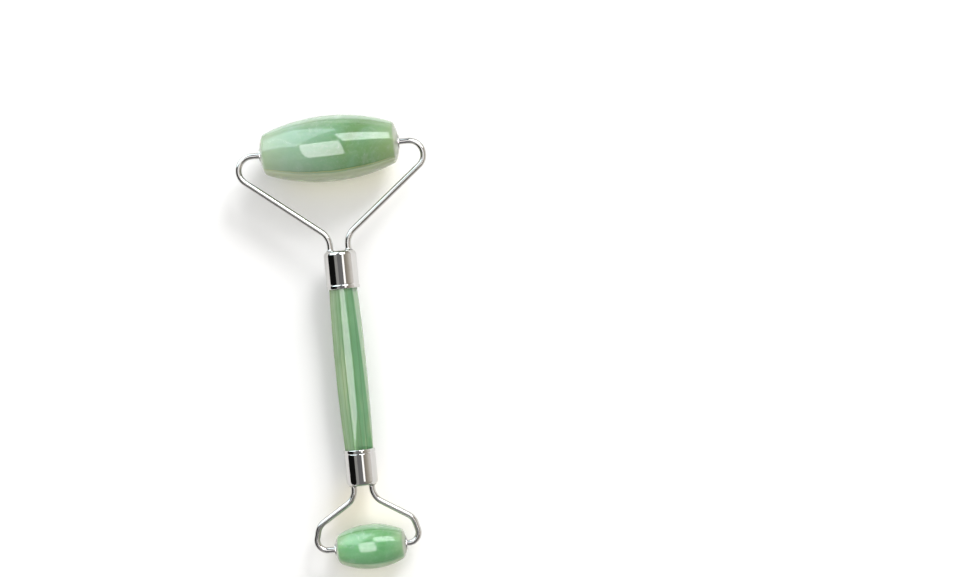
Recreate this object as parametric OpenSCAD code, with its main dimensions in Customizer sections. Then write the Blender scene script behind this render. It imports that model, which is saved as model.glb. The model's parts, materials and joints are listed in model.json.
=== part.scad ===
// Jade face roller: a stone handle with a large and a small stone roller,
// each turning on the ends of a bent wire fork.
// It lies on its two rollers: X along the roller axes, +Y towards the large roller.

/* [Large roller] */
// Largest diameter of the large stone
big_dia = 21.2; // [19:0.1:23]
// Length of the large stone, apex to apex
big_length = 44.7; // [42:0.1:45.5]
// Radius of the large stone's long outline
big_outline = 55; // [50:1:70]
// Depth of the large stone's domed ends
big_dome = 1.5; // [1.2:0.1:2]

/* [Small roller] */
// Largest diameter of the small stone
small_dia = 14.3; // [13:0.1:15.5]
// Length of the small stone, apex to apex
small_length = 23; // [21:0.1:23.4]
// Radius of the small stone's long outline
small_outline = 22; // [20:1:30]
// Depth of the small stone's domed ends
small_dome = 1.3; // [1:0.1:1.6]
// How far the small stone has slid along its pins
small_slide = 0.8; // [-1:0.1:1]

/* [Handle] */
// Distance between the two roller axes
axis_gap = 127.6; // [124:0.1:132]
// Handle size across its four narrow facets, in the middle
handle_narrow = 9.9; // [9.4:0.1:10.2]
// Handle size across its four broad facets, in the middle
handle_broad = 8.8; // [8.4:0.1:9]
// Length of the stone that shows between the ferrules
handle_shown = 51.4; // [48:0.1:55]
// Depth of the stone inside each ferrule
handle_seat = 6; // [5:0.1:6.2]

/* [Ferrules] */
// Outside diameter of the ferrule at the large fork
upper_ferrule_dia = 10.4; // [10.2:0.1:11]
// Outside diameter of the ferrule at the small fork
lower_ferrule_dia = 10; // [9.9:0.1:11]
// Length of the upper ferrule
upper_ferrule_length = 12.2; // [12:0.1:14]
// Length of the lower ferrule
lower_ferrule_length = 11.6; // [11.4:0.1:14]
// Thickness of the drawn metal
ferrule_wall = 0.5; // [0.4:0.05:0.6]

/* [Forks] */
// Diameter of the fork wire
wire_dia = 2; // [1.8:0.1:2.1]
// Half the distance between a fork's two legs inside its ferrule
leg_offset = 2.9; // [2.6:0.1:3]
// Angle between a large arm and the roller axis
big_arm_angle = 38.5; // [36:0.5:42]
// Half the distance between the large fork's end loops, on the wire's centre line
big_fork_reach = 29.7; // [29:0.1:31]
// Radius of the large fork's end loops
big_loop = 4.6; // [4.2:0.1:5]
// Angle between a small arm and the roller axis
small_arm_angle = 32; // [30:0.5:36]
// Half the distance between the small fork's end loops, on the wire's centre line
small_fork_reach = 16.3; // [16:0.1:17.5]

/* [Hidden] */
$fn = 96;

jade = [0.46, 0.67, 0.5];
silver = [0.82, 0.83, 0.85];
epoxy = [0.86, 0.84, 0.74];
solder_grey = [0.72, 0.73, 0.74];

wire_r = wire_dia / 2;
running = 0.05;       // radial play of a bush on its pin
seat_play = 0.02;     // gap round a leg where it passes a ferrule's closed end
seam_half = 0.05;
seam_proud = 0.01;

// The plane that holds both roller axes leans a little, because the rollers differ in size.
big_r = big_dia / 2;
small_r = small_dia / 2;
lean = asin((big_r - small_r) / axis_gap);
floor_gap = axis_gap * cos(lean);
big_y = (floor_gap + small_r - big_r) / 2;

// The handle: eight facets, each bowed along its length
big_ferrule_mouth = -44.9;
handle_middle = big_ferrule_mouth - handle_shown / 2;
handle_length = handle_shown + 2 * handle_seat;
narrow_bow = 655;     // radius of the bow of the four narrow facets
broad_bow = 490;      // radius of the bow of the four broad facets
bow_steps = 14;

// Ferrules, measured from their closed ends
shoulder = 1.1;       // radius of the rounded shoulder
end_wall = 0.8;
bead = 0.65;          // radius of the rolled bead at the mouth
bead_proud = 0.1;
groove = 0.14;
upper_end = big_ferrule_mouth + upper_ferrule_length;
lower_end = big_ferrule_mouth - handle_shown - lower_ferrule_length;
wall_gap = 0.3;       // glue stops this far below the mouth

// Hairpins, solder
hairpin_start = 1;    // straight leg below the end wall, before the hairpin's bend
solder_reach = 0.6;

// Rollers
bush_sleeve_r = 1.6;
bush_flange = 0.4;
bush_seat = 0.28;     // depth of the flat seat below the dome's apex
big_bush_length = 5;
small_bush_length = 4;
big_flange_r = 2.2;
small_flange_r = 2;
pin_tip = 0.25;

// Large fork: loop, arm, neck, leg
big_neck = 6;
big_pin_start = big_fork_reach - big_loop;
big_pin_end = big_length / 2 - big_bush_length;

// Small fork: arm, elbow, a short straight shin, and a curl that ends in the pin
small_curl = 3.3;
small_elbow = 5;
small_shin = 2;       // straight stretch between the elbow and the curl
curl_angle = 75;      // slope of the shin
small_neck = 5.6;
small_pin_start = small_fork_reach - small_curl;
small_pin_end = small_length / 2 - small_bush_length - 0.2;

function polar(angle) = [cos(angle), sin(angle)];

// Puts the working frame on the floor: fork plane at z = 0, large roller axis at y = 0.
module lay() {
    translate([0, big_y, big_r]) rotate([lean, 0, 0]) children();
}

module along(point, heading) {
    translate(point) rotate([0, 0, heading]) rotate([0, 90, 0]) children();
}

// A hair-wide ring that closes the seam between two stretches of one wire
module seam(point, heading) {
    along(point, heading) cylinder(h = 2 * seam_half, r = wire_r + seam_proud, center = true);
}

module wire(from, to) {
    run = to - from;
    heading = atan2(run.y, run.x);
    along(from, heading) cylinder(h = norm(run), r = wire_r);
    seam(from, heading);
    seam(to, heading);
}

module bend(centre, radius, start, sweep) {
    translate(centre) rotate([0, 0, start])
        rotate_extrude(angle = sweep) translate([radius, 0]) circle(r = wire_r);
}

// A pin along X with a chamfered tip towards x = 0
module pin(root, tip, y) {
    length = root - tip;
    along([tip, y], 0) rotate_extrude()
        polygon([
            [0, 0], [wire_r - pin_tip, 0], [wire_r, pin_tip], [wire_r, length], [0, length]
        ]);
    seam([root, y], 0);
}

module hairpin(y, away) {
    bend([0, y], leg_offset, away > 0 ? 180 : 0, 180);
}

module mirrored_x() {
    children();
    mirror([1, 0, 0]) children();
}

// ---- Rollers ----

// Half outline of a barrel stone: radius along X, length along Y
module stone_outline(r, length, outline, dome) {
    rim = length / 2 - dome;
    rim_r = r - outline + sqrt(outline * outline - rim * rim);
    dome_r = (rim_r * rim_r + dome * dome) / (2 * dome);
    intersection() {
        translate([r - outline, 0]) circle(r = outline, $fn = 480);
        translate([0, -rim]) square([r, 2 * rim]);
    }
    for (end = [-1, 1])
        intersection() {
            translate([0, end * (length / 2 - dome_r)]) circle(r = dome_r, $fn = 240);
            translate([0, end > 0 ? rim : -rim - dome]) square([r, dome]);
        }
}

module roller_stone(r, length, outline, dome, flange_r) {
    color(jade) rotate([0, 90, 0]) difference() {
        rotate_extrude() stone_outline(r, length, outline, dome);
        cylinder(h = length + 2, r = bush_sleeve_r, center = true);
        for (end = [-1, 1])
            translate([0, 0, end * (length / 2 - bush_seat + 1)])
                cylinder(h = 2, r = flange_r + 0.1, center = true);
    }
}

// Flanged eyelet, its flange on the seat at the +X end
module roller_bush(stone_length, length, flange_r) {
    seat = stone_length / 2 - bush_seat;
    color(silver) translate([seat - length, 0, 0]) rotate([0, 90, 0]) difference() {
        union() {
            cylinder(h = length, r = bush_sleeve_r);
            translate([0, 0, length]) rotate_extrude() {
                square([flange_r - bush_flange / 2, bush_flange]);
                translate([flange_r - bush_flange / 2, bush_flange / 2]) circle(d = bush_flange);
            }
        }
        translate([0, 0, -1]) cylinder(h = length + 2 + bush_flange, r = wire_r + running);
    }
}

module at_small_roller() {
    lay() translate([small_slide, -axis_gap, 0]) children();
}

module large_roller_stone() {
    lay() roller_stone(big_r, big_length, big_outline, big_dome, big_flange_r);
}

module large_roller_bush_right() {
    lay() roller_bush(big_length, big_bush_length, big_flange_r);
}

module large_roller_bush_left() {
    lay() mirror([1, 0, 0]) roller_bush(big_length, big_bush_length, big_flange_r);
}

module small_roller_stone() {
    at_small_roller() roller_stone(small_r, small_length, small_outline, small_dome, small_flange_r);
}

module small_roller_bush_right() {
    at_small_roller() roller_bush(small_length, small_bush_length, small_flange_r);
}

module small_roller_bush_left() {
    at_small_roller() mirror([1, 0, 0]) roller_bush(small_length, small_bush_length, small_flange_r);
}

// ---- Forks ----

module large_fork_shape() {
    turn = 180 - big_arm_angle;
    loop_centre = [big_pin_start, -big_loop];
    arm_top = loop_centre + big_loop * polar(90 - turn);
    neck_x = leg_offset + big_neck;
    neck_end = [neck_x, 0] + big_neck * polar(90 + big_arm_angle);
    arm_drop = (arm_top.x - neck_end.x) * tan(big_arm_angle);
    neck_y = arm_top.y - arm_drop - neck_end.y;
    hairpin_y = upper_end - end_wall - hairpin_start;
    mirrored_x() {
        pin(big_pin_start, big_pin_end, 0);
        bend(loop_centre, big_loop, 90 - turn, turn);
        wire(arm_top, neck_end + [0, neck_y]);
        bend([neck_x, neck_y], big_neck, 90 + big_arm_angle, 90 - big_arm_angle);
        wire([leg_offset, neck_y], [leg_offset, hairpin_y]);
    }
    hairpin(hairpin_y, 1);
}

module small_fork_shape() {
    curl_centre = [small_pin_start, small_curl - axis_gap];
    shin_end = curl_centre + small_curl * polar(90 - curl_angle);
    shin_start = shin_end + small_shin * polar(180 - curl_angle);
    elbow_centre = shin_start - small_elbow * polar(90 - curl_angle);
    arm_end = elbow_centre + small_elbow * polar(90 - small_arm_angle);
    neck_x = leg_offset + small_neck;
    neck_end = [neck_x, 0] + small_neck * polar(270 - small_arm_angle);
    arm_rise = (arm_end.x - neck_end.x) * tan(small_arm_angle);
    neck_y = arm_end.y + arm_rise - neck_end.y;
    hairpin_y = lower_end + end_wall + hairpin_start;
    mirrored_x() {
        pin(small_pin_start, small_pin_end, -axis_gap);
        bend(curl_centre, small_curl, -90, 180 - curl_angle);
        wire(shin_start, shin_end);
        bend(elbow_centre, small_elbow, 90 - curl_angle, curl_angle - small_arm_angle);
        wire(arm_end, neck_end + [0, neck_y]);
        bend([neck_x, neck_y], small_neck, 180, 90 - small_arm_angle);
        wire([leg_offset, neck_y], [leg_offset, hairpin_y]);
    }
    hairpin(hairpin_y, -1);
}

module large_fork() {
    color(silver) lay() large_fork_shape();
}

module small_fork() {
    color(silver) lay() small_fork_shape();
}

// ---- Ferrules ----

// A drawn cup along +Z from its closed end at z = 0, with a rolled bead at its mouth
module ferrule_cup(dia, length) {
    r = dia / 2;
    difference() {
        rotate_extrude() difference() {
            union() {
                translate([0, shoulder]) square([r, length - shoulder - bead]);
                square([r - shoulder, length]);
                translate([r - shoulder, shoulder]) circle(r = shoulder);
                translate([r - bead + bead_proud, length - bead]) circle(r = bead);
            }
            translate([0, end_wall]) square([r - ferrule_wall, length]);
            translate([r + groove / 2, length - 2 * bead - groove]) circle(r = groove);
        }
        for (side = [-1, 1])
            translate([side * leg_offset, 0, -1])
                cylinder(h = end_wall + 2, r = wire_r + seat_play);
    }
}

module at_upper_end() {
    lay() translate([0, upper_end, 0]) rotate([90, 0, 0]) children();
}

module at_lower_end() {
    lay() translate([0, lower_end, 0]) rotate([-90, 0, 0]) children();
}

module upper_ferrule() {
    color(silver) at_upper_end() ferrule_cup(upper_ferrule_dia, upper_ferrule_length);
}

module lower_ferrule() {
    color(silver) at_lower_end() ferrule_cup(lower_ferrule_dia, lower_ferrule_length);
}

// Solder fillets where the two legs come out of a closed end
module solder_fillets() {
    for (side = [-1, 1])
        translate([side * leg_offset, 0, 0]) rotate_extrude() difference() {
            translate([wire_r, -solder_reach]) square(solder_reach);
            translate([wire_r + solder_reach, -solder_reach]) circle(r = solder_reach);
        }
}

module upper_solder() {
    color(solder_grey) at_upper_end() solder_fillets();
}

module lower_solder() {
    color(solder_grey) at_lower_end() solder_fillets();
}

// ---- Handle ----

// The space between two opposite facets. Each facet bows along Y, in short flat steps.
module facet_pair(across, bow, turn) {
    step = handle_length / bow_steps;
    along_y = [for (i = [0:bow_steps]) i * step - handle_length / 2];
    function reach(y) = across / 2 - bow + sqrt(bow * bow - y * y);
    rotate([0, turn, 0]) linear_extrude(height = 3 * handle_narrow, center = true)
        polygon(concat(
            [for (y = along_y) [reach(y), y]],
            [for (y = along_y) [-reach(-y), -y]]
        ));
}

module handle_shape() {
    translate([0, handle_middle, 0]) intersection() {
        facet_pair(handle_narrow, narrow_bow, 0);
        facet_pair(handle_narrow, narrow_bow, 90);
        facet_pair(handle_broad, broad_bow, 45);
        facet_pair(handle_broad, broad_bow, -45);
    }
}

module handle_stone() {
    color(jade) lay() handle_shape();
}

// Glue between a cup, the handle's end and the fork's hairpin
module glue_fill(dia, length) {
    translate([0, 0, end_wall])
        cylinder(h = length - end_wall - wall_gap, r = dia / 2 - ferrule_wall);
}

module upper_adhesive() {
    color(epoxy) difference() {
        at_upper_end() glue_fill(upper_ferrule_dia, upper_ferrule_length);
        lay() handle_shape();
        lay() large_fork_shape();
    }
}

module lower_adhesive() {
    color(epoxy) difference() {
        at_lower_end() glue_fill(lower_ferrule_dia, lower_ferrule_length);
        lay() handle_shape();
        lay() small_fork_shape();
    }
}

handle_stone();
upper_ferrule();
lower_ferrule();
upper_adhesive();
lower_adhesive();
large_fork();
small_fork();
upper_solder();
lower_solder();
large_roller_stone();
large_roller_bush_left();
large_roller_bush_right();
small_roller_stone();
small_roller_bush_left();
small_roller_bush_right();
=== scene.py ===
import json
import math

import bpy
import bmesh
from mathutils import Matrix, Vector


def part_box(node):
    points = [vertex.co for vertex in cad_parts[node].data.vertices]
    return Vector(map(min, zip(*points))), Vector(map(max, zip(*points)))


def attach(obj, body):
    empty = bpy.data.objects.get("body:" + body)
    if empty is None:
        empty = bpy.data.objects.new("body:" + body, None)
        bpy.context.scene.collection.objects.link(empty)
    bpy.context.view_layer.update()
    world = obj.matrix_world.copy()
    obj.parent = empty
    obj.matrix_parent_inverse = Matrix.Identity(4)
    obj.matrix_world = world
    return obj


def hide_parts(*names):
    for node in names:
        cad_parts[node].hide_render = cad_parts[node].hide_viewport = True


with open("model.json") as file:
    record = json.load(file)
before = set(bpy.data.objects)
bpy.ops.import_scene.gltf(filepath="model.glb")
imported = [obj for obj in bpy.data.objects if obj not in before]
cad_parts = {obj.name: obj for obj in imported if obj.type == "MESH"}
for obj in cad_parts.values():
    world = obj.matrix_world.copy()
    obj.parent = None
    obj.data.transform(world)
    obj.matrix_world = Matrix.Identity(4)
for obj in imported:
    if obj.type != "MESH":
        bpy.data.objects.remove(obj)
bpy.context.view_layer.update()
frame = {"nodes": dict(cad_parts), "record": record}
mm = 0.001
weldDistance = 0.0001 * mm
softEdgeAngle = 35          # degrees: a fold sharper than this shows as an edge

# Lay frame: fork plane at z = 0, large roller axis at y = 0, the handle along -y
joints = {joint["name"]: joint for joint in frame["record"]["behaviour"]["joints"]}
largeAxis = Vector(joints["large_roller_spin"]["pos_m"])
smallAxis = Vector(joints["small_roller_spin"]["pos_m"])
axisGap = (largeAxis - smallAxis).length
lean = math.atan2(largeAxis.z - smallAxis.z, largeAxis.y - smallAxis.y)
layFrame = Matrix.Translation(largeAxis) @ Matrix.Rotation(lean, 4, "X")


def layBox(node):
    # A node's lowest and highest corners, seen in the lay frame
    toLay = layFrame.inverted()
    spots = [toLay @ corner.co for corner in frame["nodes"][node].data.vertices]
    low = Vector([min(spot[i] for spot in spots) for i in range(3)])
    high = Vector([max(spot[i] for spot in spots) for i in range(3)])
    return low, high


def makePiece(name, points, faces, place, body, material, edgeAngle=softEdgeAngle):
    mesh = bpy.data.meshes.new(name)
    mesh.from_pydata(points, [], faces)
    work = bmesh.new()
    work.from_mesh(mesh)
    bmesh.ops.remove_doubles(work, verts=work.verts, dist=weldDistance)
    bmesh.ops.recalc_face_normals(work, faces=work.faces)
    work.to_mesh(mesh)
    work.free()
    mesh.shade_smooth()
    mesh.set_sharp_from_angle(angle=math.radians(edgeAngle))
    piece = bpy.data.objects.new(name, mesh)
    bpy.context.scene.collection.objects.link(piece)
    piece.matrix_world = place
    mesh.materials.append(material)
    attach(piece, body)
    return piece


def lathe(profile, sides, closed=True):
    # (radius, along) turned about Z: a closed loop, or an open line with both ends on the axis
    points, faces = [], []
    count = len(profile)
    for turn in range(sides):
        angle = 2 * math.pi * turn / sides
        points += [(r * math.cos(angle), r * math.sin(angle), z) for r, z in profile]
    for turn in range(sides):
        here, there = turn * count, (turn + 1) % sides * count
        for i in range(count if closed else count - 1):
            j = (i + 1) % count
            faces.append((here + i, here + j, there + j, there + i))
    return points, faces


def tube(rings, sides):
    # The faces that join rings of points into a wall and close both ends
    faces = []
    for ring in range(rings - 1):
        a, b = ring * sides, (ring + 1) * sides
        for i in range(sides):
            j = (i + 1) % sides
            faces.append((a + i, a + j, b + j, b + i))
    faces.append(tuple(range(sides)))
    faces.append(tuple((rings - 1) * sides + i for i in range(sides)))
    return faces


def curveThrough(start, corner, end, t):
    return start * (1 - t) ** 2 + corner * 2 * t * (1 - t) + end * t ** 2


def roundedCorners(corners, steps):
    # Each corner (radius, along, size of the round) of a closed outline becomes a short curve
    outline = []
    count = len(corners)
    mostOfSide = 0.45       # so that the curves at both ends of a side never meet
    for i, (r, z, size) in enumerate(corners):
        spot = Vector((r, z))
        if size == 0:
            outline.append((spot.x, spot.y))
            continue
        before, after = Vector(corners[i - 1][:2]), Vector(corners[(i + 1) % count][:2])
        reachIn = min(size, (before - spot).length * mostOfSide)
        reachOut = min(size, (after - spot).length * mostOfSide)
        start = spot + (before - spot).normalized() * reachIn
        end = spot + (after - spot).normalized() * reachOut
        for step in range(steps + 1):
            curve = curveThrough(start, spot, end, step / steps)
            outline.append((curve.x, curve.y))
    return outline


class Value:
    # A socket that takes + - * / and abs, and builds Math nodes
    def __init__(self, tree, socket):
        self.tree = tree
        self.socket = socket

    def math(self, operation, *terms):
        node = self.tree.nodes.new("ShaderNodeMath")
        node.operation = operation
        for socket, given in zip(node.inputs, terms):
            if isinstance(given, Value):
                self.tree.links.new(given.socket, socket)
            else:
                socket.default_value = given
        return Value(self.tree, node.outputs[0])

    def __add__(self, other):
        return self.math("ADD", self, other)

    def __radd__(self, other):
        return self.math("ADD", other, self)

    def __sub__(self, other):
        return self.math("SUBTRACT", self, other)

    def __rsub__(self, other):
        return self.math("SUBTRACT", other, self)

    def __mul__(self, other):
        return self.math("MULTIPLY", self, other)

    def __rmul__(self, other):
        return self.math("MULTIPLY", other, self)

    def __truediv__(self, other):
        return self.math("DIVIDE", self, other)

    def __rtruediv__(self, other):
        return self.math("DIVIDE", other, self)

    def __abs__(self):
        return self.math("ABSOLUTE", self)


class Surface:
    # A material and its nodes: node adds any kind, the methods below it are the common ones
    def __init__(self, name):
        self.material = bpy.data.materials.new(name)
        self.material.use_nodes = True
        self.tree = self.material.node_tree
        self.shader = self.tree.nodes["Principled BSDF"]

    def node(self, kind, settings=None, stops=None, inputs=None, output=0):
        made = self.tree.nodes.new("ShaderNode" + kind)
        for name, setting in (settings or {}).items():
            setattr(made, name, setting)
        for i, (place, tone) in enumerate(stops or []):
            ramp = made.color_ramp.elements
            stop = ramp[i] if i < len(ramp) else ramp.new(place)
            stop.position = place
            stop.color = tone
        self.fill(made, inputs or {})
        return Value(self.tree, made.outputs[output])

    def fill(self, made, inputs):
        for name, given in inputs.items():
            if isinstance(given, Value):
                self.tree.links.new(given.socket, made.inputs[name])
            else:
                made.inputs[name].default_value = given

    def set(self, **inputs):
        self.fill(self.shader, {name.replace("_", " "): given for name, given in inputs.items()})

    def coords(self):
        return self.node("TexCoord", output="Object")

    def part(self, vector, axis):
        return self.node("SeparateXYZ", inputs={0: vector}, output=axis)

    def stretched(self, along):
        return self.node("Mapping", inputs={"Vector": self.coords(), "Scale": along})

    def noise(self, where, scale, detail, roughness, warp=0.0):
        return self.node("TexNoise", inputs={
            "Vector": where, "Scale": scale, "Detail": detail, "Roughness": roughness,
            "Distortion": warp})

    def ramp(self, value, low, high):
        # 0 at low, 1 at high; low may be the larger of the two
        return self.node("MapRange", inputs={
            "Value": value, "From Min": low, "From Max": high})

    def blend(self, factor, first, second):
        return self.node("Mix", {"data_type": "RGBA"}, inputs={
            0: factor, 6: first, 7: second}, output=2)

    def bump(self, height, depth, strength):
        return self.node("Bump", inputs={
            "Height": height, "Distance": depth, "Strength": strength})


def colour(red, green, blue):
    return (red, green, blue, 1)


print("materials")

# A range gives the two values of a noise between which its colour goes from none to full
jadeLook = {
    "deep": colour(0.165, 0.296, 0.116),
    "green": colour(0.235, 0.430, 0.268),
    "pale": colour(0.42, 0.52, 0.43),
    "end": colour(0.42, 0.48, 0.27),
    "cap": colour(0.52, 0.56, 0.45),
    # painted light: the pale bands along the top and bottom edges of the stones, and the pale band
    # along the handle's right edge
    "rim": colour(0.52, 0.63, 0.50),
    "paintedLowRimLight": colour(0.57, 0.62, 0.42),
    "vivid": colour(0.13, 0.39, 0.18),
    # painted highlight of the bright line near the large stone's bottom edge, then the dark colour
    # of the painted shade lines, which also draws dark streaks in the handle
    "seam": colour(0.50, 0.46, 0.16),
    "streakAndPaintedShade": colour(0.10, 0.19, 0.06),
    "crack": colour(0.72, 0.80, 0.66),
    "streak": 1.0,             # 1 gives round clouds, less draws them out along the stone
    # features per metre
    "cloudSize": 55,
    "driftSize": 2.5,          # times the clouds
    "veinSize": 8,             # times the clouds
    "grainSize": 900,
    "fleckSize": 160,
    "cloudRange": (0.36, 0.66),
    "driftRange": (0.5, 0.78),
    "driftAmount": 0.45,
    "paleVeinRange": (0.52, 0.74),
    "darkVeinRange": (0.47, 0.30),
    "veinAmount": 1.1,         # less the streak: 0.1 on round clouds
    "grainRange": (0.52, 0.8),
    "grainAmount": 0.3,
    "endRange": (0.55, 1.05),  # as parts of the stone's half length
    "endWander": 0.25,
    "endAmount": 0.5,
    "crackWidth": 0.012,
    "crackRange": (0.60, 0.66),
    "crackAmount": 0.7,
    "fleckRange": (0.16, 0.06),
    "fleckChosen": (0.72, 0.8),
    "fleckAmount": 0.4,
    "capFade": (-0.15 * mm, 0.4 * mm),     # from where the domed end starts
    # along the stone: where it starts, where it is full, colour, strength
    "veil": (4 * mm, -18 * mm, "pale", 0.65),
    # across the stone, as parts of its radius: start, full, colour, strength, lean per metre; the
    # pale rim bands at the top and bottom edges are painted light that stands in for light through
    # the thin edges
    "bandsAndPaintedRims": [(0.80, 0.88, "rim", 0.7, 0), (-0.76, -0.80, "paintedLowRimLight", 0.8, 0)],
    # thin lines: place, half width, colour, strength; the dark line near the top edge and the dark
    # line beside the bright one are painted shade, the bright line near the bottom edge a painted
    # highlight
    "seams": [(0.81, 0.02, "streakAndPaintedShade", 0.3), (-0.74, 0.022, "seam", 0.8),
              (-0.705, 0.02, "streakAndPaintedShade", 0.5)],
    "seamRange": (0.30, 0.44),
    "bandWander": 0.06,
    "clear": 0.4,
    "scatter": 0.8,
    "scatterColour": (0.9, 1.0, 0.7),
    "scatterDepth": 9 * mm,
    "index": 1.57,
    "polish": 0.03,            # roughness, and as much again where the grain is coarse
    "rippleDepth": 0.02 * mm,
    "ripple": 0.06,            # strength of the polish's slow waves
}
smallJadeLook = jadeLook | {
    "deep": colour(0.165, 0.390, 0.155),
    "green": colour(0.275, 0.540, 0.280),
    "pale": colour(0.46, 0.64, 0.46),
    "cloudSize": 80,
    "veil": (4 * mm, 12 * mm, "pale", 0.5),
    "ripple": 0.02,
    # the pale bands near the top and bottom edges are painted light, and the two dark lines beside
    # them painted shade
    "bandsAndPaintedRims": [(0.5, 0.2, "vivid", 0.35, 0), (0.80, 0.90, "rim", 0.65, 0),
               (-0.72, -0.78, "paintedLowRimLight", 0.55, 8)],
    "seams": [(0.79, 0.03, "streakAndPaintedShade", 0.5), (-0.69, 0.03, "streakAndPaintedShade", 0.45)],
}
handleJadeLook = jadeLook | {
    "deep": colour(0.090, 0.235, 0.100),
    "green": colour(0.175, 0.345, 0.170),
    "pale": colour(0.34, 0.45, 0.29),
    "cloudSize": 45,
    "fleckAmount": 0,
    "crackAmount": 0,
    "streak": 0.07,
    "veil": None,
    # the pale band along the right edge, leaning along the handle, is a painted reflection of the
    # side light
    "bandsAndPaintedRims": [(0.1, -0.9, "end", 0.4, 0), (0.1, 0.4, "vivid", 0.45, 0),
               (0.80, 0.85, "rim", 0.7, 4.9)],
    # the dark lines at -0.28, 0.29 and -0.96 are painted shade along the facet edges and the left
    # outline; the other lines are streaks in the stone
    "seams": [(-0.28, 0.04, "streakAndPaintedShade", 0.7), (0.29, 0.04, "streakAndPaintedShade", 0.5),
              (-0.96, 0.06, "streakAndPaintedShade", 0.7), (-0.52, 0.05, "streakAndPaintedShade", 0.5),
              (-0.7, 0.05, "pale", 0.6), (0.62, 0.05, "deep", 0.7)],
}


def jadeSurface(name, look, shape):
    jade = Surface(name)
    where = jade.coords()
    streak = look["streak"]
    drawn = [1, 1, 1]
    drawn[shape["lengthAxis"]] = streak
    grainAlong = jade.stretched(drawn)
    size = look["cloudSize"]
    cloud = jade.noise(where, size, 4, 0.5, 0.6)
    drift = jade.noise(grainAlong, size * look["driftSize"], 5, 0.6, 1.5)
    vein = jade.noise(grainAlong, size * look["veinSize"], 4, 0.6, 0.5)
    grain = jade.noise(grainAlong, look["grainSize"], 3, 0.65)

    # Clouds first, then pale and dark veins, then the fine grain
    paleDrift = jade.ramp(drift, *look["driftRange"]) * look["driftAmount"]
    paleVein = jade.ramp(vein, *look["paleVeinRange"]) * (look["veinAmount"] - streak)
    darkVein = jade.ramp(vein, *look["darkVeinRange"]) * (1 - streak)
    paleGrain = jade.ramp(grain, *look["grainRange"]) * look["grainAmount"]
    body = jade.blend(jade.ramp(cloud, *look["cloudRange"]), look["deep"], look["green"])
    body = jade.blend(paleDrift, body, look["pale"])
    body = jade.blend(paleVein, body, look["end"])
    body = jade.blend(darkVein, body, look["deep"])
    body = jade.blend(paleGrain, body, look["pale"])

    # What changes from one end of the stone to the other
    place = jade.part(where, shape["lengthAxis"])
    along = abs(place)
    if look["veil"]:
        start, full, tone, strength = look["veil"]
        spread = jade.ramp(place + (cloud - 0.5) * abs(full - start), start, full)
        body = jade.blend(spread * strength, body, look[tone])
    reach = along / shape["half"] + (cloud - 0.5) * look["endWander"]
    nearEnd = jade.ramp(reach, *look["endRange"])
    body = jade.blend(nearEnd * look["endAmount"], body, look["end"])

    # Bands and lines lie across the stone and follow its outline; the pale rim bands are painted
    # light, and most edge lines are painted shade and a painted highlight
    width = shape["radius"] - along * along / (2 * shape["outline"])
    across = jade.part(where, shape["acrossAxis"]) / width + (drift - 0.5) * look["bandWander"]
    for start, full, tone, strength, slope in look["bandsAndPaintedRims"]:
        bandMask = jade.ramp(across + place * slope, start, full)
        body = jade.blend(bandMask * strength, body, look[tone])
    for spot, halfWidth, tone, strength in look["seams"]:
        line = jade.ramp(abs(across - spot), halfWidth, 0)
        broken = jade.ramp(cloud, *look["seamRange"])
        body = jade.blend(line * broken * strength, body, look[tone])

    if look["crackAmount"]:
        crack = jade.ramp(abs(vein - 0.5), look["crackWidth"], 0)
        few = jade.ramp(drift, *look["crackRange"])
        body = jade.blend(crack * few * look["crackAmount"], body, look["crack"])
    if look["fleckAmount"]:
        speck = {"Vector": where, "Scale": look["fleckSize"], "Randomness": 1.0}
        nearFleck = jade.ramp(jade.node("TexVoronoi", inputs=speck), *look["fleckRange"])
        chosen = jade.part(jade.node("TexVoronoi", inputs=speck, output="Color"), 0)
        fleck = nearFleck * jade.ramp(chosen, *look["fleckChosen"]) * look["fleckAmount"]
        body = jade.blend(fleck, body, look["crack"])
    if shape["cap"]:
        capStart = shape["half"] - shape["cap"]
        capped = jade.ramp(along, *[capStart + shift for shift in look["capFade"]])
        body = jade.blend(capped, body, look["cap"])
    jade.set(
        Base_Color=body,
        Roughness=look["polish"] + grain * look["polish"],
        IOR=look["index"],
        Transmission_Weight=look["clear"],
        Subsurface_Weight=look["scatter"],
        Subsurface_Radius=look["scatterColour"],
        Subsurface_Scale=look["scatterDepth"],
        Normal=jade.bump(drift, look["rippleDepth"], look["ripple"]),
    )
    return jade.material


metalLook = {
    "silver": colour(0.60, 0.59, 0.575),
    "tarnish": colour(0.46, 0.44, 0.41),
    "tarnishAmount": 0.35,
    "roughness": 0.05,
    "wornRoughness": 0.06,
    "markRoughness": 0.03,
    "markSize": 900,
    "markDepth": 0.01 * mm,
    "markStrength": 0.2,
    "wearSize": 260,
    "wearRange": (0.55, 0.8),
}


def platedSurface(name, look, drawnAlong):
    plate = Surface(name)
    marks = plate.noise(plate.stretched(drawnAlong), look["markSize"], 3, 0.6)
    wear = plate.noise(plate.coords(), look["wearSize"], 4, 0.6)
    worn = plate.ramp(wear, *look["wearRange"])
    plate.set(
        Base_Color=plate.blend(worn * look["tarnishAmount"], look["silver"], look["tarnish"]),
        Metallic=1.0,
        Roughness=look["roughness"] + worn * look["wornRoughness"] + marks * look["markRoughness"],
        Normal=plate.bump(marks, look["markDepth"], look["markStrength"]),
    )
    return plate.material


print("rollers")

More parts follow.
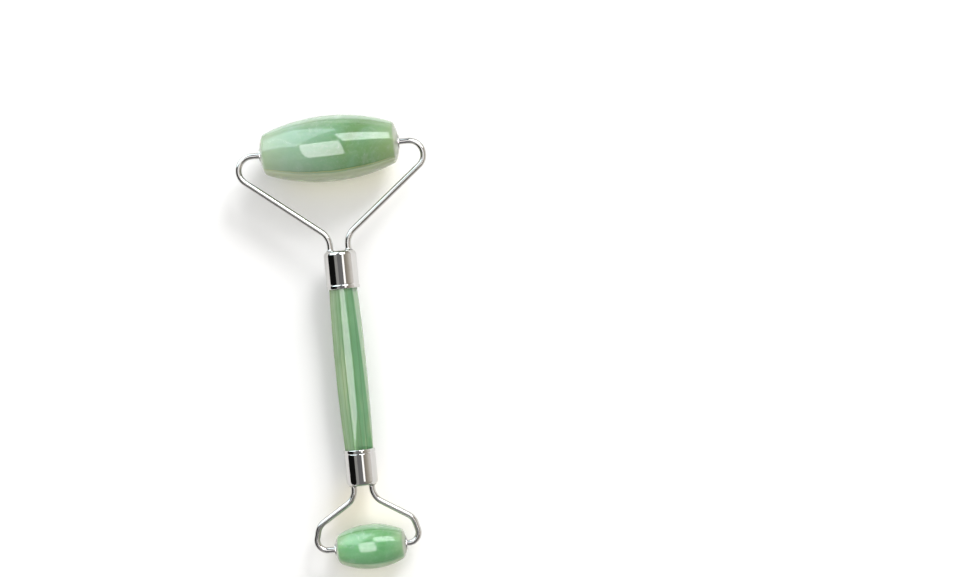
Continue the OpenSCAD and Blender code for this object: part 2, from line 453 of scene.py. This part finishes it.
# Seen along the roller's axis; the flange lies in a shallow seat in the domed end
largeStone = {
    "name": "large_roller",
    "outline": 55 * mm,     # radius of the long outline
    "dome": 1.5 * mm,
    "rimRound": 0.8 * mm,
    "boreRadius": 1.6 * mm,
    "flangeRadius": 2.2 * mm,
    "flange": 0.4 * mm,
    "seat": 0.28 * mm,
    "seatPlay": 0.1 * mm,
    "seatBevel": (0.06 * mm, 0.05 * mm),     # outwards, and down
    "bushLength": 5 * mm,
}
smallStone = largeStone | {
    "name": "small_roller",
    "outline": 22 * mm,
    "dome": 1.3 * mm,
    "rimRound": 0.7 * mm,
    "flangeRadius": 2.0 * mm,
    "bushLength": 4 * mm,
}
stoneSteps = {"dome": 14, "rim": 8, "barrel": 40, "round": 192}


def stoneProfile(look, radius, half):
    # Closed half outline: bore, seat, dome, rim, barrel
    outline, dome, edge = look["outline"], look["dome"], look["rimRound"]

    def barrel(z):
        return radius - outline + math.sqrt(outline ** 2 - z ** 2)

    rim = half - dome
    rimRadius = barrel(rim)
    domeRadius = (rimRadius ** 2 + dome ** 2) / (2 * dome)

    def domeHeight(r):
        return half - domeRadius + math.sqrt(domeRadius ** 2 - r ** 2)

    recess = look["flangeRadius"] + look["seatPlay"]
    bevelOut, bevelDown = look["seatBevel"]
    seatAt = half - look["seat"]
    side = [(look["boreRadius"], seatAt), (recess, seatAt)]
    side.append((recess, domeHeight(recess) - bevelDown))
    domeStart, domeEnd = recess + bevelOut, rimRadius - edge
    for i in range(stoneSteps["dome"] + 1):
        r = domeStart + (domeEnd - domeStart) * i / stoneSteps["dome"]
        side.append((r, domeHeight(r)))
    start, end = Vector((domeEnd, domeHeight(domeEnd))), Vector((barrel(rim - edge), rim - edge))
    for i in range(1, stoneSteps["rim"]):
        spot = curveThrough(start, Vector((rimRadius, rim)), end, i / stoneSteps["rim"])
        side.append((spot.x, spot.y))
    for i in range(stoneSteps["barrel"] + 1):
        z = (rim - edge) * (1 - i / stoneSteps["barrel"])
        side.append((barrel(z), z))
    mirrored = [(r, -z) for r, z in reversed(side[:-1])]
    return side + mirrored


wireRadius = 1.0 * mm
bushLook = {
    "pinPlay": 0.05 * mm,
    "pressGap": 0.01 * mm,      # between the sleeve and the stone's bore
    "sides": 64,
    "cornerSteps": 5,
    # how far each corner of the outline is rounded
    "innerEnd": 0.05 * mm,
    "underFlange": 0.02 * mm,
    "flangeBottom": 0.1 * mm,
    "flangeTop": 0.25 * mm,
    "mouth": 0.15 * mm,
}
bushMetal = platedSurface("bushPlating", metalLook, (1, 1, 0.1))


def bush(look, axis, half, side, node):
    # Flanged eyelet, flange outwards
    seatAt = half - look["seat"]
    innerEnd, top = seatAt - look["bushLength"], seatAt + look["flange"]
    bore, flange = wireRadius + bushLook["pinPlay"], look["flangeRadius"]
    sleeve = look["boreRadius"] - bushLook["pressGap"]
    profile = roundedCorners([
        (bore, innerEnd, bushLook["innerEnd"]),
        (sleeve, innerEnd, bushLook["innerEnd"]),
        (sleeve, seatAt, bushLook["underFlange"]),
        (flange, seatAt, bushLook["flangeBottom"]),
        (flange, top, bushLook["flangeTop"]),
        (bore, top, bushLook["mouth"]),
    ], bushLook["cornerSteps"])
    points, faces = lathe(profile, bushLook["sides"])
    place = Matrix.Translation(axis) @ Matrix.Rotation(math.pi / 2 * side, 4, "Y")
    piece = makePiece(
        node + "_plated", points, faces, place, look["name"], bushMetal)
    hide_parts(node)


def roller(look, axis, jadeName, jade):
    # The stone lies on its joint's axis, as long as its two bushes say
    bushes = {1: look["name"] + "_bush_right", -1: look["name"] + "_bush_left"}
    low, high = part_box(bushes[-1])[0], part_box(bushes[1])[1]
    half = (high[0] - low[0]) / 2 - look["flange"] + look["seat"]
    centre = Vector(((low[0] + high[0]) / 2, axis.y, axis.z))
    shape = {"lengthAxis": 2, "acrossAxis": 1, "half": half, "cap": look["dome"],
             "radius": axis.z, "outline": look["outline"]}
    points, faces = lathe(stoneProfile(look, axis.z, half), stoneSteps["round"])
    place = Matrix.Translation(centre) @ Matrix.Rotation(math.pi / 2, 4, "Y")
    node = look["name"] + "_stone"
    stone = makePiece(node + "_polished", points, faces, place, look["name"],
                      jadeSurface(jadeName, jade, shape))
    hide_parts(node)
    for side, name in bushes.items():
        bush(look, centre, half, side, name)
    return half


largeHalf = roller(largeStone, largeAxis, "largeRollerJade", jadeLook)
smallHalf = roller(smallStone, smallAxis, "smallRollerJade", smallJadeLook)

print("ferrules")

ferruleLook = {
    "wall": 0.5 * mm,
    "endWall": 0.8 * mm,
    "shoulder": 1.65 * mm,
    "bead": 1.2 * mm,        # length of the rolled bead at the mouth
    "beadProud": 0.1 * mm,
    "groove": 0.12 * mm,
    "legOffset": 2.9 * mm,
    "hairpinGap": 1 * mm,    # between the hairpin's ends and the closed end
    "sides": 160,
    "cornerSteps": 8,
    # where the groove and the bead's slope lie, from the start of the bead
    "grooveStart": -0.3 * mm,
    "grooveEnd": -0.1 * mm,
    "beadSlope": 0.15 * mm,
    # how far each corner of the outline is rounded
    "grooveRound": 0.15 * mm,
    "grooveFloor": 0.12 * mm,
    "beadRound": 0.35 * mm,
    "mouthRound": 0.5 * mm,
    "mouthInside": 0.2 * mm,
    "cupFloor": 0.6 * mm,
}
ferruleMetal = platedSurface("ferrulePlating", metalLook, (1, 1, 0.15))


def ferruleProfile(look, radius, length):
    inner = radius - look["wall"]
    bead = length - look["bead"]
    beadRadius = radius + look["beadProud"]
    return roundedCorners([
        (0, 0, 0),
        (radius, 0, look["shoulder"]),
        (radius, bead + look["grooveStart"], look["grooveRound"]),
        (radius - look["groove"], bead + look["grooveEnd"], look["grooveFloor"]),
        (beadRadius, bead + look["beadSlope"], look["beadRound"]),
        (beadRadius, length, look["mouthRound"]),
        (inner, length, look["mouthInside"]),
        (inner, look["endWall"], look["cupFloor"]),
        (0, look["endWall"], 0),
    ], look["cornerSteps"])


def ferrule(node, alongHandle):
    # alongHandle is -1 where the cup opens towards -y, 1 where it opens towards +y
    look = ferruleLook
    low, high = layBox(node)
    length = high.y - low.y
    radius = (high.x - low.x) / 2 - look["beadProud"]
    closedEnd = high.y if alongHandle < 0 else low.y
    points, faces = lathe(ferruleProfile(look, radius, length), look["sides"], closed=False)
    turn = Matrix.Rotation(-alongHandle * math.pi / 2, 4, "X")
    place = layFrame @ Matrix.Translation((0, closedEnd, 0)) @ turn
    piece = makePiece(
        node + "_plated", points, faces, place, "root", ferruleMetal)
    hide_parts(node)
    return closedEnd


upperEnd = ferrule("upper_ferrule", -1)
lowerEnd = ferrule("lower_ferrule", 1)

print("forks")


def direction(heading):
    return Vector((math.cos(heading), math.sin(heading)))


class WirePath:
    # Walks in the lay plane; each point keeps its spot and heading
    def __init__(self, start, heading):
        self.spot = Vector(start)
        self.heading = math.radians(heading)
        self.points = [(self.spot.copy(), self.heading)]

    def step(self, heading, length):
        self.spot = self.spot + direction(heading) * length
        self.points.append((self.spot.copy(), self.heading))

    def run(self, length, steps):
        for _ in range(steps):
            self.step(self.heading, length / steps)

    def bend(self, radius, degrees):
        # Positive turns left
        degreesPerStep = 4
        steps = max(4, round(abs(degrees) / degreesPerStep))
        turn = math.radians(degrees) / steps
        chord = 2 * radius * math.sin(abs(turn) / 2)
        for _ in range(steps):
            middle = self.heading + turn / 2
            self.heading += turn
            self.step(middle, chord)


def wireMesh(path, radius):
    sides = 32
    bevel, tip = 0.22, 0.72      # length and end size of the cut ends, as parts of the radius
    (first, firstHeading), (last, lastHeading) = path[0], path[-1]
    rings = [(first, firstHeading, 0, tip), (first, firstHeading, bevel, 1)]
    rings += [(spot, heading, 0, 1) for spot, heading in path[1:-1]]
    rings += [(last, lastHeading, -bevel, 1), (last, lastHeading, 0, tip)]
    points = []
    for spot, heading, shift, grow in rings:
        ahead = direction(heading).to_3d()
        across = Vector((-ahead.y, ahead.x, 0))
        base = spot.to_3d() + ahead * shift * radius
        for i in range(sides):
            angle = 2 * math.pi * i / sides
            out = across * math.cos(angle) + Vector((0, 0, 1)) * math.sin(angle)
            points.append(tuple(base + out * radius * grow))
    return points, tube(len(rings), sides)


def mirroredPath(points):
    # The other half of a fork, walked back out
    far = [(Vector((-spot.x, spot.y)), -heading) for spot, heading in reversed(points[:-1])]
    return points + far


largeForkLook = {
    "reach": 29.7 * mm,       # from the middle to the outermost line of the wire's centre
    "loop": 4.6 * mm,
    "armAngle": 38.5,
    "neck": 6 * mm,
}
smallForkLook = {
    "reach": 16.3 * mm,
    "curl": 3.3 * mm,
    "shin": 2 * mm,
    "shinAngle": 75,
    "elbow": 5 * mm,
    "armAngle": 32,
    "neck": 5.6 * mm,
    "pinPast": 0.2 * mm,      # how far the pin reaches past its bush
}
legOffset = ferruleLook["legOffset"]
hairpinDepth = ferruleLook["endWall"] + ferruleLook["hairpinGap"]
wireMetal = platedSurface("wirePlating", metalLook, (1, 1, 1))


def armLength(look, across):
    # A straight arm that ends where the neck's bend meets the leg
    angle = math.radians(look["armAngle"])
    bendAcross = look["neck"] * (1 - math.cos(math.pi / 2 - angle))
    return (across - legOffset - bendAcross) / math.cos(angle)


def largeForkPath(look):
    angle = look["armAngle"]
    pinStart = look["reach"] - look["loop"]
    pinTip = largeHalf - largeStone["bushLength"]
    path = WirePath((pinTip, 0), 0)
    path.run(pinStart - pinTip, 4)
    path.bend(look["loop"], -(180 - angle))
    path.run(armLength(look, path.spot.x), 8)
    path.bend(look["neck"], 90 - angle)
    path.run(path.spot.y - (upperEnd - hairpinDepth), 2)
    path.bend(legOffset, -90)
    return mirroredPath(path.points)


def smallForkPath(look):
    angle = look["armAngle"]
    pinStart = look["reach"] - look["curl"]
    pinTip = smallHalf - smallStone["bushLength"] - look["pinPast"]
    path = WirePath((pinTip, -axisGap), 0)
    path.run(pinStart - pinTip, 3)
    path.bend(look["curl"], 180 - look["shinAngle"])
    path.run(look["shin"], 1)
    path.bend(look["elbow"], look["shinAngle"] - angle)
    path.run(armLength(look, path.spot.x), 4)
    path.bend(look["neck"], -(90 - angle))
    path.run(lowerEnd + hairpinDepth - path.spot.y, 2)
    path.bend(legOffset, 90)
    return mirroredPath(path.points)


def fork(node, path):
    points, faces = wireMesh(path, wireRadius)
    piece = makePiece(
        node + "_bent_wire", points, faces, layFrame, "root", wireMetal)
    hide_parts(node)


fork("large_fork", largeForkPath(largeForkLook))
fork("small_fork", smallForkPath(smallForkLook))

solderLook = {
    "dull": colour(0.46, 0.46, 0.45),
    "bright": colour(0.62, 0.61, 0.6),
    "roughness": 0.16,
    "lumpRoughness": 0.12,
    "lumpSize": 1500,
    "lumpDepth": 0.03 * mm,
    "lumpStrength": 0.4,
    "reach": 0.6 * mm,        # of the fillet, up the leg and out over the ferrule
    "overlap": 0.02 * mm,     # into the wire and into the ferrule
    "steps": 8,
    "sides": 48,
}


def solderSurface(look):
    solder = Surface("solder")
    lumps = solder.noise(solder.coords(), look["lumpSize"], 3, 0.6)
    solder.set(
        Base_Color=solder.blend(lumps, look["dull"], look["bright"]),
        Metallic=1.0,
        Roughness=look["roughness"] + lumps * look["lumpRoughness"],
        Normal=solder.bump(lumps, look["lumpDepth"], look["lumpStrength"]),
    )
    return solder.material


def solderFillets(node, closedEnd, outwards, material):
    look = solderLook
    reach, overlap, steps = look["reach"], look["overlap"], look["steps"]
    curve = [(wireRadius - overlap, -overlap), (wireRadius - overlap, reach)]
    for i in range(steps + 1):
        angle = math.pi / 2 * i / steps
        curve.append((wireRadius + reach * (1 - math.cos(angle)), reach * (1 - math.sin(angle))))
    curve.append((wireRadius + reach, -overlap))
    points, faces = [], []
    for side in (-1, 1):
        ring, ringFaces = lathe(curve, look["sides"])
        base = len(points)
        points += [(x + side * legOffset, y, z) for x, y, z in ring]
        faces += [tuple(i + base for i in face) for face in ringFaces]
    turn = Matrix.Rotation(-outwards * math.pi / 2, 4, "X")
    place = layFrame @ Matrix.Translation((0, closedEnd, 0)) @ turn
    piece = makePiece(node + "_fillets", points, faces, place, "root", material)
    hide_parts(node)


solderMetal = solderSurface(solderLook)
solderFillets("upper_solder", upperEnd, 1, solderMetal)
solderFillets("lower_solder", lowerEnd, -1, solderMetal)

print("handle")

handleLook = {
    "facets": 8,
    "narrow": 9.9 * mm,      # across the narrow facets, in the middle
    "broad": 8.8 * mm,       # across the broad facets, in the middle
    "narrowBow": 655 * mm,
    "broadBow": 490 * mm,
    "crispness": 130,         # higher is a sharper edge between facets
    "hipFacet": 1,            # this upper facet cuts in towards the lower end
    "hipAt": -14 * mm,        # from here on
    "hipCut": 0.095,          # this much deeper for each metre further on
    "endBevel": 0.5 * mm,
    "rings": 110,
    "sides": 160,
    "edgeAngle": 60,
}


def handleRadius(look, angle, y):
    # Soft polygon: the nearest facet sets the radius, blended near an edge
    total = 0
    for i in range(look["facets"]):
        kind = "broad" if i % 2 else "narrow"
        bow = look[kind + "Bow"]
        reach = look[kind] / 2 - bow + math.sqrt(bow ** 2 - y ** 2)
        if i == look["hipFacet"]:
            reach -= look["hipCut"] * max(0, look["hipAt"] - y)
        facing = math.cos(angle - 2 * math.pi / look["facets"] * i)
        if facing > 0:
            total += (facing * mm / reach) ** look["crispness"]
    return mm * total ** (-1 / look["crispness"])


def handleStone(look, material):
    low, high = layBox("handle_stone")
    middle, half = (low.y + high.y) / 2, (high.y - low.y) / 2
    rings, sides = look["rings"], look["sides"]
    points = []
    for ring in range(rings + 1):
        y = -half + 2 * half * ring / rings
        inset = look["endBevel"] if ring in (0, rings) else 0
        for i in range(sides):
            angle = 2 * math.pi * i / sides
            r = handleRadius(look, angle, y) - inset
            points.append((r * math.cos(angle), y, r * math.sin(angle)))
    faces = tube(rings + 1, sides)
    place = layFrame @ Matrix.Translation((0, middle, 0))
    piece = makePiece("handle_stone_polished", points, faces, place, "root",
                      material, look["edgeAngle"])
    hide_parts("handle_stone")


# half is well past the handle's real ends, so that hardly any of the end tint shows
handleShape = {"lengthAxis": 1, "acrossAxis": 0, "half": 60 * mm, "cap": 0,
               "radius": handleLook["narrow"] / 2, "outline": handleLook["narrowBow"]}
handleStone(handleLook, jadeSurface("handleJade", handleJadeLook, handleShape))

glueLook = {
    "amber": colour(0.66, 0.62, 0.46),
    "milky": colour(0.78, 0.76, 0.66),
    "hazeSize": 800,
    "roughness": 0.25,
    "hazeRoughness": 0.2,
    "scatter": 0.3,
    "scatterColour": (1.0, 0.9, 0.6),
    "scatterDepth": 1 * mm,
}


def adhesiveSurface(look):
    glue = Surface("curedEpoxy")
    haze = glue.noise(glue.coords(), look["hazeSize"], 3, 0.6)
    glue.set(
        Base_Color=glue.blend(haze, look["amber"], look["milky"]),
        Roughness=look["roughness"] + haze * look["hazeRoughness"],
        Subsurface_Weight=look["scatter"],
        Subsurface_Radius=look["scatterColour"],
        Subsurface_Scale=look["scatterDepth"],
    )
    return glue.material


curedGlue = adhesiveSurface(glueLook)
for node in ("upper_adhesive", "lower_adhesive"):
    solid = frame["nodes"][node].data
    solid.materials.clear()
    solid.materials.append(curedGlue)

print("studio")

scene = bpy.context.scene
scene.view_settings.view_transform = "Standard"
scene.view_settings.look = "None"

floorLook = {
    "half": 1.6,
    "white": colour(0.93, 0.93, 0.93),
    "grey": colour(0.89, 0.89, 0.885),
    "fibreSize": 400,
    "fibreAmount": 0.3,
    "roughness": 0.75,
    "shine": 0.2,
}


def makeFloor(look):
    paper = Surface("whitePaper")
    fibre = paper.noise(paper.coords(), look["fibreSize"], 4, 0.6)
    paper.set(
        Base_Color=paper.blend(fibre * look["fibreAmount"], look["white"], look["grey"]),
        Roughness=look["roughness"],
        Specular_IOR_Level=look["shine"],
    )
    half = look["half"]
    mesh = bpy.data.meshes.new("floor")
    mesh.from_pydata([(-half, -half, 0), (half, -half, 0), (half, half, 0), (-half, half, 0)],
                     [], [(0, 1, 2, 3)])
    floor = bpy.data.objects.new("floor", mesh)
    scene.collection.objects.link(floor)
    mesh.materials.append(paper.material)
    return floor


floorOnly = [makeFloor(floorLook)]
ferrules = [bpy.data.objects[node + "_ferrule_plated"] for node in ("upper", "lower")]
wires = [bpy.data.objects[node + "_fork_bent_wire"] for node in ("large", "small")]
metals = ferrules + wires
pieces = [thing for thing in scene.objects if thing.type == "MESH" and thing not in floorOnly]
stones = [thing for thing in pieces if thing not in metals]

# across and along are a lamp's angles from straight up, towards +X and +Y, in degrees
studio = {
    "overhead": dict(across=-9, along=-1.5, size=(0.41, 0.72), distance=0.8, radiance=6.3,
                     tint=(1.0, 0.94, 1.0), turn=4, lights=stones),
    "key": dict(across=24, along=37, size=(0.52, 0.42), distance=0.85, radiance=7.5,
                tint=(0.94, 0.98, 1.0), lights=pieces),
    "wall": dict(across=-50, along=58, size=(0.9, 1.0), distance=1.0, radiance=3.0,
                 tint=(0.78, 0.94, 1.0), lights=pieces),
    "floorSide": dict(across=42, along=56, size=(0.36, 0.36), distance=0.85, radiance=15,
                      lights=floorOnly),
    "floorTop": dict(across=0, along=0, size=(6, 6), distance=1.3, radiance=0.68,
                     lights=floorOnly),
    "ferruleStrip": dict(across=23, along=-2, size=(0.18, 0.5), distance=0.8, radiance=1.6,
                         lights=metals),
    "wireStrip": dict(across=-5, along=0, size=(0.24, 0.26), distance=0.8, radiance=1.9,
                      lights=wires),
}


def group(name, things):
    made = bpy.data.collections.new(name)
    for thing in things:
        made.objects.link(thing)
    return made


def areaLamp(name, shape, size, radiance, tint, lights):
    # Lights only the things in lights, and the camera doesn't see it
    lamp = bpy.data.lights.new(name, "AREA")
    lamp.shape = shape
    lamp.size, lamp.size_y = size
    lamp.energy = radiance * math.pi * size[0] * size[1]
    lamp.color = tint
    box = bpy.data.objects.new(name, lamp)
    scene.collection.objects.link(box)
    box.visible_camera = False
    box.light_linking.receiver_collection = group(name + "Lights", lights)
    return box


def slant(across, along):
    # Unit vector that leans from straight up by these degrees towards +X and +Y
    return Vector((math.tan(math.radians(across)), math.tan(math.radians(along)), 1)).normalized()


def softbox(name, across, along, size, distance, radiance, lights, tint=(1, 1, 1), turn=0):
    box = areaLamp(name, "RECTANGLE", size, radiance, tint, lights)
    towards = slant(across, along)
    side = Vector((0, 1, 0)).cross(towards).normalized()
    facing = Matrix((side, towards.cross(side), towards)).transposed().to_4x4()
    box.matrix_world = Matrix.Translation(towards * distance) @ facing @ Matrix.Rotation(
        math.radians(turn), 4, "Z")


for name, setting in studio.items():
    softbox(name, **setting)

# Warm light that comes through each stone onto the paper
glowLook = {
    "tint": (1.0, 0.72, 0.12),
    "height": 6 * mm,
    "large": dict(at=(2 * mm, -6 * mm), size=(40 * mm, 14 * mm), strength=0.32),
    "small": dict(at=(0, 4 * mm), size=(26 * mm, 34 * mm), strength=0.22),
}


def glow(name, axis, at, size, strength):
    box = areaLamp(name, "ELLIPSE", size, strength, glowLook["tint"], floorOnly)
    box.location = (axis.x + at[0], axis.y + at[1], glowLook["height"])
    box.light_linking.blocker_collection = group(name + "Blockers", [])     # nothing shades it


glow("largeGlow", largeAxis, **glowLook["large"])
glow("smallGlow", smallAxis, **glowLook["small"])

# The room: dark on the left, dim overhead, warmer on the right, plain behind the object
roomStops = [
    (0.00, colour(0.008, 0.008, 0.008)),
    (0.185, colour(0.008, 0.008, 0.008)),
    (0.205, colour(0.42, 0.42, 0.41)),
    (0.34, colour(0.42, 0.42, 0.41)),
    (0.36, colour(0.22, 0.22, 0.225)),
    (0.62, colour(0.22, 0.22, 0.225)),
    (0.84, colour(0.40, 0.36, 0.30)),
    (0.93, colour(0.60, 0.56, 0.49)),
    (1.00, colour(0.95, 0.92, 0.88)),
]
backdrop = colour(0.95, 0.95, 0.95)


class Room(Surface):
    def __init__(self, name):
        self.world = bpy.data.worlds.new(name)
        self.world.use_nodes = True
        self.tree = self.world.node_tree
        self.shader = self.tree.nodes["Background"]


room = Room("studioRoom")
sideways = room.part(room.node("TexCoord", output="Generated"), 0) * 0.5 + 0.5
around = room.node("ValToRGB", stops=roomStops, inputs={0: sideways})
seen = room.node("LightPath", output="Is Camera Ray")
room.set(Color=room.blend(seen, around, backdrop))
scene.world = room.world

cameraLook = {
    "distance": 0.70,
    "fromRight": 6,        # degrees off the vertical, towards +X
    "fromTop": 0,
    "aim": (46.6 * mm, 12.65 * mm, 9 * mm),
    "roll": 5.589,
    "lens": 80.42,
    "sensor": 36,
    "clip": (0.05, 10),
}


def makeCamera(look):
    lens = bpy.data.cameras.new("camera")
    lens.lens = look["lens"]
    lens.sensor_width = look["sensor"]
    lens.clip_start, lens.clip_end = look["clip"]
    camera = bpy.data.objects.new("camera", lens)
    scene.collection.objects.link(camera)
    aim = Vector(look["aim"])
    spot = Vector((0, 0, aim.z)) + slant(look["fromRight"], look["fromTop"]) * look["distance"]
    back = (spot - aim).normalized()
    roll = math.radians(look["roll"])
    side = Vector((math.sin(roll), math.cos(roll), 0)).cross(back).normalized()
    turned = Matrix((side, back.cross(side), back)).transposed().to_4x4()
    camera.matrix_world = Matrix.Translation(spot) @ turned
    scene.camera = camera


makeCamera(cameraLook)

print("done")
